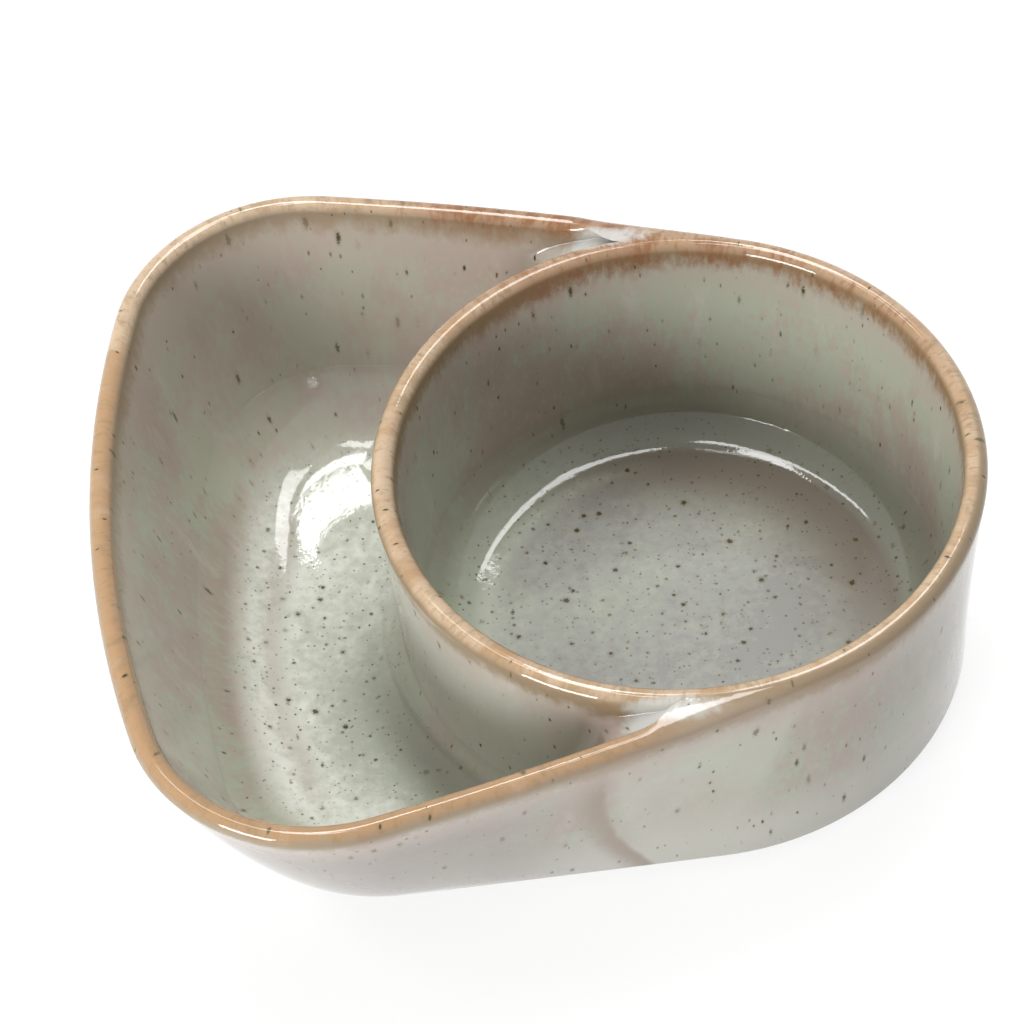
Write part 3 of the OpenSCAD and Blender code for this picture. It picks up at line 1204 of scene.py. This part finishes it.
    # Painted shade: the tray's trough along the cup's foot, darkened where the cup shades it.
    painted_trough_shade: tuple[Coat, ...] = (
        Coat(moss_and_painted_shade, 0.90, trough),
        Coat(painted_shade, 0.75, trough + ((By.RADIUS, 78.0, 68.0),)),
    )
    floor_coats: tuple[Coat, ...] = (
        Coat(moss_and_painted_shade, 0.70, ring),
        # Painted shade at the back of the cup's cove ring, under the back wall.
        Coat(painted_shade, 0.60, ring + ((By.SLANT, 10.0, 75.0),)),
        # Plum round the cup's disc is the glaze's own colour, darkened to the back as painted shade from
        # the back wall.
        Coat(plum_and_painted_shade, 0.95, floor + in_cup + ((By.RADIUS, 50.0, 46.0), (By.RADIUS, 20.0, 44.0),
                                           (By.SLANT, 20.0, 80.0))),
        Coat(mauve, 0.45, floor + ((By.TOE, 5.0, 0.0), (By.X, -50.0, -56.0))),
    )
    lap_coats: tuple[Coat, ...] = (
        Coat(lap_green, 0.50, front + ((By.LAP, 0.0, 5.0),)),
        Coat(lap_brown, 0.75, front + ((By.LAP, -8.0, -0.8), (By.LAP, 1.2, -0.6))),
    )

    toe_r: float = 92.0
    lap_x: float = 5.9
    lap_z: float = 42.0
    lap_curve: float = 0.0065
    worn_range: Pair = (0.1, 1.0)
    rust_band: Pair = (57.0, 63.5)
    rust_lift: float = 4.5
    rust_patches: Pair = (-0.7, 0.4)
    groove_middle: tuple[float, float, float] = (18.5, 65.5, 59.5)
    groove_half: tuple[float, float, float] = (14.0, 3.6, 5.0)
    groove_fade: Pair = (1.3, 0.3)
    tray_x: float = -28.0
    wall_ring: float = 40.0
    radial_share: float = 0.4
    drape_gap: float = 0.1

    wall_specks: tuple[SpeckLayer, ...] = (
        SpeckLayer(0.26, 0.115, 0.80, 0.34),
        SpeckLayer(0.50, 0.12, 0.60, 0.45),
    )
    floor_specks: tuple[SpeckLayer, ...] = (
        SpeckLayer(0.25, 0.15, 0.75),
        SpeckLayer(0.45, 0.16, 0.65),
        SpeckLayer(0.85, 0.18, 0.55),
    )
    speck_faint: float = 0.35
    speck_small: float = 0.4
    speck_fray: float = 1.6
    speck_edge: Pair = (1.0, 0.55)
    halo_edge: Pair = (1.8, 0.7)
    halo_strength: float = 0.45
    fine_share: float = 0.35
    peel_strength: float = 0.040
    peel_depth: float = 0.0006
    rough: float = 0.02
    rough_grain: float = 0.05

    def drape(self, g: Graph, place: Sequence[Socket], middle: float) -> Socket:
        """Coordinates that run round a wall and up over its lip, drawn in along the radius.

        Args:
            g: The material's graph.
            place: Place along x, y and z, in millimetres.
            middle: Place along x of the middle that the wall goes round.

        Returns:
            The coordinates as a vector.
        """
        x, y, z = place
        aside = g.minus(x, middle)
        reach = g.math("SQRT", g.plus(g.times(aside, aside), g.times(y, y)))
        share = g.plus(self.radial_share, g.math("DIVIDE", self.wall_ring, reach))
        return g.join(g.times(aside, share), g.times(y, share), z)

    def spot(self, g: Graph) -> Spot:
        """Works out all that the glaze's colours fade by.

        Args:
            g: The material's graph.

        Returns:
            The spot of glaze.
        """
        place = g.coords()
        x, y, z = g.split(place)
        _, ahead, up = g.split(g.node("ShaderNodeNewGeometry", {}).outputs["Normal"])
        cup_x, cup_r = self.form.cup_x / MM, self.form.cup_rim_r / MM
        across = g.minus(x, cup_x)
        radius = g.math("SQRT", g.plus(g.times(across, across), g.times(y, y)))
        round_cup, round_tray = (self.drape(g, (x, y, z), middle) for middle in (cup_x, self.tray_x))
        beyond = g.math("GREATER_THAN", radius, cup_r + self.drape_gap)
        drape = g.choose(beyond, round_cup, round_tray)
        by = {By.X: x, By.Y: y, By.Z: z, By.SLANT: g.plus(x, y), By.AHEAD: ahead, By.UP: up,
              By.RADIUS: radius, By.CREST: g.minus(radius, cup_r - self.form.lip_r / MM),
              By.CLOUD: g.noise(place, self.cloud), By.RUNS: g.noise(drape, self.runs),
              By.FUZZ: g.noise(drape, self.fuzz), By.GRAIN: g.noise(place, self.grain)}
        at = Spot(g, place, drape, by)
        by[By.EDGE] = at.waver(z, self.edge_mottle)
        by[By.TOP] = at.waver(z, self.top_mottle)
        by[By.DISC] = at.waver(radius, self.disc_mottle)
        by[By.TOE] = g.math("ABSOLUTE", g.minus(by[By.DISC], self.toe_r))
        lean = g.minus(z, self.lap_z)
        line = g.plus(self.lap_x, g.times(lean, lean, self.lap_curve))
        by[By.LAP] = at.waver(g.minus(x, line), self.lap_mottle)
        return at

    def walls(self, at: Spot) -> Socket:
        """Sage and mauve clouds, pink fuzz, milky runs, and painted light low outside and by the tray.
        """
        tone = at.g.ramp(at.waver(0.45, self.wall_mottle), 0.0, 1.0)
        return at.lay(at.g.blend(tone, self.sage, self.mauve), self.wall_coats)

    def floors(self, at: Spot, body: Socket) -> Socket:
        """Pooled green on the floors, lavender on the cup's disc, thin plum round its edge, painted
        light and shade.

        Args:
            at: The spot of glaze.
            body: Colour so far.

        Returns:
            The colour with the floors.
        """
        g = at.g
        ahead, beyond = at.share(self.tray_front_painted_light), at.share(self.off_cup)
        # Painted light: the tray's floor is lightened towards its front and away from the cup.
        tone = g.plus(at.waver(0.12, self.pool_mottle), g.times(ahead, 0.40), g.times(beyond, 0.25))
        pooled = g.blend(g.ramp(tone, 0.0, 1.0), self.pool_deep, self.pool_and_painted_light)
        body = g.blend(at.share(self.floor), body, at.lay(pooled, self.painted_trough_shade))
        veil = at.waver(0.65, self.veil_mottle)
        body = at.wash(body, self.lavender, veil, self.floor + self.in_cup + self.disc)
        return at.lay(body, self.floor_coats)

    def lap(self, at: Spot, body: Socket) -> Socket:
        """The two dips of glaze on the front, and the line where one laps the other."""
        spread = at.g.plus(at.share(self.dip), at.g.times(at.share(self.dip_left), 0.35))
        return at.lay(at.wash(body, self.lilac, at.g.times(spread, 0.68), self.front), self.lap_coats)

    def lips(self, at: Spot, body: Socket) -> Socket:
        """Lays the amber band of the lips over the body colour, with its rust and its pale crest.

        Args:
            at: The spot of glaze.
            body: Colour so far.

        Returns:
            The colour with the lips.
        """
        g = at.g
        cup, inner = at.share(self.cup_lip), at.share(self.inner_lip)
        body = at.wash(body, self.blush, 0.55, self.blush_band)
        body = at.wash(body, self.ochre, g.plus(0.58, g.times(cup, 0.22)), self.ochre_band)
        worn = g.math("MAXIMUM", g.times(cup, 0.80), at.share(self.back_lip))
        crest = g.ramp(at.waver(worn, self.worn_mottle), *self.worn_range)
        crest = at.wash(g.blend(crest, self.honey, self.cream), self.ochre, 0.60, self.crest_fuzz)
        cover = g.minus(0.90, g.times(at.share(self.outer_lip), 0.85))
        body = at.wash(body, crest, cover, self.crest)
        on_tray = g.times(g.minus(1.0, inner), at.share(self.rust_tray))
        where = g.plus(g.times(inner, at.share(self.rust_cup)), on_tray)
        height = g.ramp(g.plus(at.by[By.EDGE], g.times(inner, self.rust_lift)), *self.rust_band)
        patchy = g.ramp(at.waver(0.0, self.rust_mottle), *self.rust_patches)
        return g.blend(g.times(where, height, patchy), body, self.rust)

    def grooves(self, at: Spot, body: Socket) -> Socket:
        """Pales the thick glaze that fills the grooves between the lips of tray and cup.

        Args:
            at: The spot of glaze.
            body: Colour so far.

        Returns:
            The colour with the grooves.
        """
        g = at.g
        away = at.waver(0.0, self.groove_mottle)
        place = at.by[By.X], g.math("ABSOLUTE", at.by[By.Y]), at.by[By.Z]
        for value, middle, half in zip(place, self.groove_middle, self.groove_half):
            off = g.math("DIVIDE", g.minus(value, middle), half)
            away = g.plus(away, g.times(off, off))
        return g.blend(g.times(g.ramp(away, *self.groove_fade), 0.75), body, self.pale)

    def specks(self, g: Graph, body: Socket, place: Socket, where: Value,
               layers: Sequence[SpeckLayer]) -> Socket:
        """Scatters iron specks over the body colour.

        Args:
            g: The material's graph.
            body: Colour so far.
            place: Coordinates that the specks are scattered in.
            where: Share of the specks' strength, 0 where they stay away.
            layers: Sizes and counts of the specks.

        Returns:
            The colour with the specks.
        """
        fray = g.swing(g.noise(place, self.ragged), self.speck_fray)
        for layer in layers:
            away, draw = g.cells(g.stretch(place, (1.0, 1.0, layer.squeeze)), layer.scale)
            chance, size, strength = g.split(draw)
            strength = g.plus(self.speck_faint, g.times(strength, 1.0 - self.speck_faint))
            keep = g.times(g.math("LESS_THAN", chance, layer.share), where, strength)
            near = g.math("DIVIDE", away, g.times(g.plus(size, self.speck_small), layer.radius))
            near = g.plus(near, fray)
            ring = g.times(g.ramp(near, *self.halo_edge), keep, self.halo_strength)
            body = g.blend(ring, body, self.halo)
            body = g.blend(g.times(g.ramp(near, *self.speck_edge), keep), body, self.speck)
        return body

    def build(self) -> bpy.types.Material:
        """Builds the glaze's material.

        Returns:
            The material.
        """
        g = Graph(bpy.data.materials.new("reactive_glaze"))
        at = self.spot(g)
        floor = at.share(self.floor)
        body = self.lap(at, self.floors(at, self.walls(at)))
        body = self.grooves(at, self.lips(at, body))
        body = self.specks(g, body, at.drape, g.minus(1.0, floor), self.wall_specks)
        body = self.specks(g, body, at.place, floor, self.floor_specks)
        fine = g.times(g.noise(at.place, self.fine_peel), self.fine_share)
        peel = g.plus(g.noise(at.place, self.peel), fine)
        rough = g.plus(self.rough, g.times(at.by[By.GRAIN], self.rough_grain))
        g.surface(base_color=body, roughness=rough,
                  normal=g.bump(peel, self.peel_strength, self.peel_depth))
        return g.owner


@dataclass(frozen=True)
class BareClay:
    """Unglazed fired clay: matt, sandy and buff."""

    buff: Colour = tint(204, 190, 168)
    grey: Colour = tint(172, 160, 142)
    grog: Colour = tint(110, 92, 74)
    cloud: Noise = Noise(0.12, 4.0, 0.6)
    sand: Noise = Noise(2.2, 3.0, 0.65)
    sand_strength: float = 0.35
    sand_depth: float = 0.0003
    rough: float = 0.72
    rough_sand: float = 0.2
    grog_scale: float = 0.9
    grog_share: float = 0.25
    grog_edge: Pair = (0.32, 0.18)

    def build(self) -> bpy.types.Material:
        """Builds the clay's material.

        Returns:
            The material.
        """
        g = Graph(bpy.data.materials.new("bare_clay"))
        place = g.coords()
        body = g.blend(g.noise(place, self.cloud), self.grey, self.buff)
        away, draw = g.cells(place, self.grog_scale)
        chance, _, _ = g.split(draw)
        grain = g.times(g.ramp(away, *self.grog_edge), g.math("LESS_THAN", chance, self.grog_share))
        body = g.blend(grain, body, self.grog)
        sand = g.noise(place, self.sand)
        g.surface(base_color=body, roughness=g.plus(self.rough, g.times(sand, self.rough_sand)),
                  normal=g.bump(sand, self.sand_strength, self.sand_depth))
        return g.owner


@dataclass(frozen=True)
class SoftBox:
    """A rectangular lamp; a fill gives light and no reflection.

    It is aimed at the bowl, or hung level and turned about the vertical by turn, in degrees.
    """

    name: str
    place: tuple[float, float, float]
    size: tuple[float, float]
    power: float
    fill: bool = False
    level: bool = False
    turn: float = 0.0


@dataclass
class Studio:
    """Camera, floor, backdrop light and soft boxes."""

    eye: tuple[float, float, float] = (-0.0150, -0.54426, 0.70860)
    back: tuple[float, float, float] = (-0.01054, -0.63655, 0.77116)
    up: tuple[float, float, float] = (0.10476, 0.76626, 0.63393)
    focal_px: float = 4000.0
    picture_px: float = 1024.0
    sensor: float = 36.0
    aim: tuple[float, float, float] = (0.0, 0.0, 0.03)
    floor_half: float = 3.0
    floor_light: float = 0.86
    floor_seen: float = 0.22
    floor_glow: float = 0.815
    floor_rough: float = 0.9
    horizon: float = 0.32
    zenith: float = 0.18
    sky_fade: Pair = (0.05, 0.75)
    boxes: tuple[SoftBox, ...] = (
        SoftBox("top_box_wide", (-0.058, 0.462, 1.10), (0.130, 0.580), 3.4, level=True, turn=-23.0),
        SoftBox("top_box_narrow", (0.275, 0.455, 1.10), (0.29, 0.56), 4.8, level=True, turn=-12.0),
        SoftBox("top_strip", (-0.27, 0.25, 1.10), (0.10, 0.70), 2.4, level=True, turn=40.0),
        SoftBox("front_left_box", (-0.95, -1.00, 0.46), (0.60, 0.40), 15.0),
        SoftBox("left_fill", (-0.85, 0.10, 0.95), (0.40, 0.40), 3.5, fill=True),
        SoftBox("right_fill", (0.80, 0.10, 0.95), (0.40, 0.40), 2.0, fill=True),
        SoftBox("back_fill", (-0.22, 1.26, 0.96), (0.50, 0.40), 4.5, fill=True),
    )

    def build_camera(self) -> None:
        """Places the camera at the photograph's viewing angle."""
        data = bpy.data.cameras.new("camera")
        data.sensor_width = self.sensor
        data.lens = self.focal_px * self.sensor / self.picture_px
        camera = bpy.data.objects.new("camera", data)
        back = Vector(self.back).normalized()
        right = Vector(self.up).cross(back).normalized()
        up = back.cross(right)
        turn = Matrix((right, up, back)).transposed().to_4x4()
        camera.matrix_world = Matrix.Translation(self.eye) @ turn
        bpy.context.scene.collection.objects.link(camera)
        bpy.context.scene.camera = camera

    def build_lamps(self) -> None:
        """Hangs the soft boxes, level or aimed at the bowl."""
        for box in self.boxes:
            data = bpy.data.lights.new(box.name, "AREA")
            data.shape = "RECTANGLE"
            data.size, data.size_y = box.size
            data.energy = box.power
            lamp = bpy.data.objects.new(box.name, data)
            way = Vector(self.aim) - Vector(box.place)
            lamp.location = box.place
            if box.level:
                lamp.rotation_euler.z = math.radians(box.turn)
            else:
                lamp.rotation_euler = way.to_track_quat("-Z", "Y").to_euler()
            lamp.visible_glossy = not box.fill
            bpy.context.scene.collection.objects.link(lamp)

    def build_floor(self) -> None:
        """Lays a plain pale floor that shows white and keeps the bowl's shadow."""
        shape = bmesh.new()
        bmesh.ops.create_grid(shape, x_segments=1, y_segments=1, size=self.floor_half)
        data = bpy.data.meshes.new("floor")
        shape.to_mesh(data)
        shape.free()
        floor = bpy.data.objects.new("floor", data)
        bpy.context.scene.collection.objects.link(floor)
        g = Graph(bpy.data.materials.new("pale_floor"))
        seen = g.unlit()
        grey = g.plus(self.floor_light, g.times(seen, self.floor_seen - self.floor_light))
        g.surface(base_color=g.join(grey, grey, grey), roughness=self.floor_rough,
                  emission_color=WHITE, emission_strength=g.times(seen, self.floor_glow))
        data.materials.append(g.owner)

    def build_sky(self) -> None:
        """Surrounds the scene with light that fades overhead, seen white by camera and gloss."""
        g = Graph(bpy.data.worlds.new("studio"))
        height = g.split(g.node("ShaderNodeTexCoord", {}).outputs["Generated"])[2]
        fade = g.times(g.ramp(height, *self.sky_fade), self.zenith - self.horizon)
        light = g.plus(self.horizon, fade)
        strength = g.plus(light, g.times(g.unlit(), g.minus(1.0, light)))
        g.surface(color=WHITE, strength=strength)
        bpy.context.scene.world = g.owner

    def build(self) -> None:
        """Builds the whole studio."""
        self.build_camera()
        self.build_lamps()
        self.build_floor()
        self.build_sky()
        bpy.context.scene.view_settings.view_transform = "Standard"


def main() -> None:
    """Builds the bowl's pieces in order, dresses them and sets the studio."""
    logging.basicConfig(level=logging.INFO, format="%(name)s: %(message)s")
    form = BowlForm.from_frame()
    glaze, clay = ReactiveGlaze(form).build(), BareClay().build()
    glazed = SoupCup(form).build() + CrackerTray(form).build()
    glazed += CornerWeb(form, Side.FRONT).build() + CornerWeb(form, Side.BACK).build()
    for piece in glazed:
        piece.data.materials.append(glaze)
    for piece in FootRing(form).build():
        piece.data.materials.append(clay)
    Studio().build()


if __name__ == "__main__":
    main()
